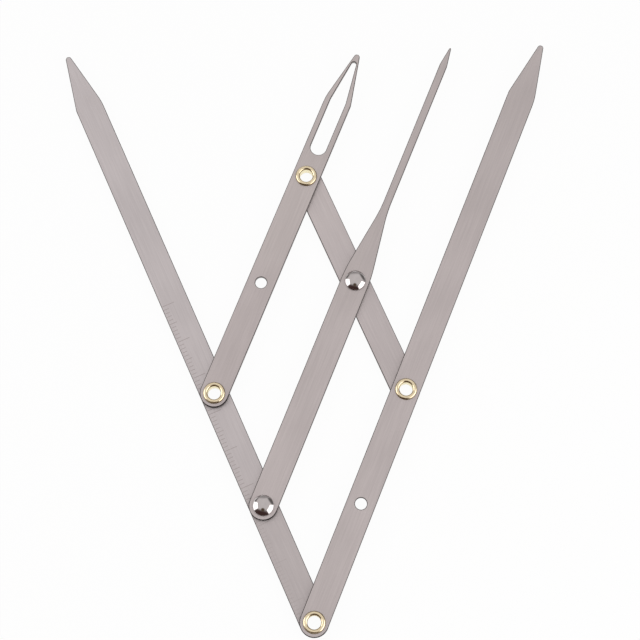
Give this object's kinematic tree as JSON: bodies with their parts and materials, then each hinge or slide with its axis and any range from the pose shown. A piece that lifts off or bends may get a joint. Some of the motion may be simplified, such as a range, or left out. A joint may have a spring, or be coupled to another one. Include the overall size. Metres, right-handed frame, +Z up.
{
  "type": "golden ratio caliper",
  "caption": "Flat steel golden ratio caliper: a pinned rhombus linkage whose long points, slotted point and needle keep golden ratio spacing in one line as it opens.",
  "frame": {"origin": "on the axis of the main pivot, where the two long arms are pinned, in the parting plane between the two layers of arms", "axes": "+Z up out of the side with the domed caps, +Y along the bisector of the two long arms towards the points, +X to the right"},
  "size_m": [0.1244, 0.1501, 0.0041],
  "materials": {
    "satin_steel": "satin, brushed along the arm",
    "brass": "bright",
    "chrome": "polished"
  },
  "bodies": {
    "left_arm": {"left_arm": "satin_steel", "base_eyelet": "brass", "left_eyelet": "brass", "lower_rivet_cap": "chrome", "lower_rivet_post": "chrome"},
    "right_arm": {"right_arm": "satin_steel", "right_eyelet": "brass"},
    "slotted_arm": {"slotted_arm": "satin_steel", "top_eyelet": "brass"},
    "needle_arm": {"needle_arm": "satin_steel", "upper_rivet_cap": "chrome", "upper_rivet_post": "chrome"},
    "cross_link": {"cross_link": "satin_steel"}
  },
  "joints": [
    {"name": "opening_hinge", "type": "hinge", "parent": "left_arm", "child": "right_arm", "pos_m": [0, 0, 0], "axis": [0, 0, -1], "range_deg": [-31.7, 120]},
    {"name": "slotted_hinge", "type": "hinge", "parent": "left_arm", "child": "slotted_arm", "pos_m": [-0.02358, 0.05597, 0], "axis": [0, 0, -1], "range_deg": [-31.7, 120]},
    {"name": "needle_hinge", "type": "hinge", "parent": "left_arm", "child": "needle_arm", "pos_m": [-0.01179, 0.02798, 0], "axis": [0, 0, -1], "range_deg": [-31.7, 120]},
    {"name": "link_hinge", "type": "hinge", "parent": "right_arm", "child": "cross_link", "pos_m": [0.02358, 0.05597, 0], "axis": [0, 0, 1], "range_deg": [-31.7, 120]}
  ],
  "couplings": [
    {"joint": "slotted_hinge", "follows": "opening_hinge", "ratio": 1},
    {"joint": "needle_hinge", "follows": "opening_hinge", "ratio": 1},
    {"joint": "link_hinge", "follows": "opening_hinge", "ratio": 1}
  ]
}
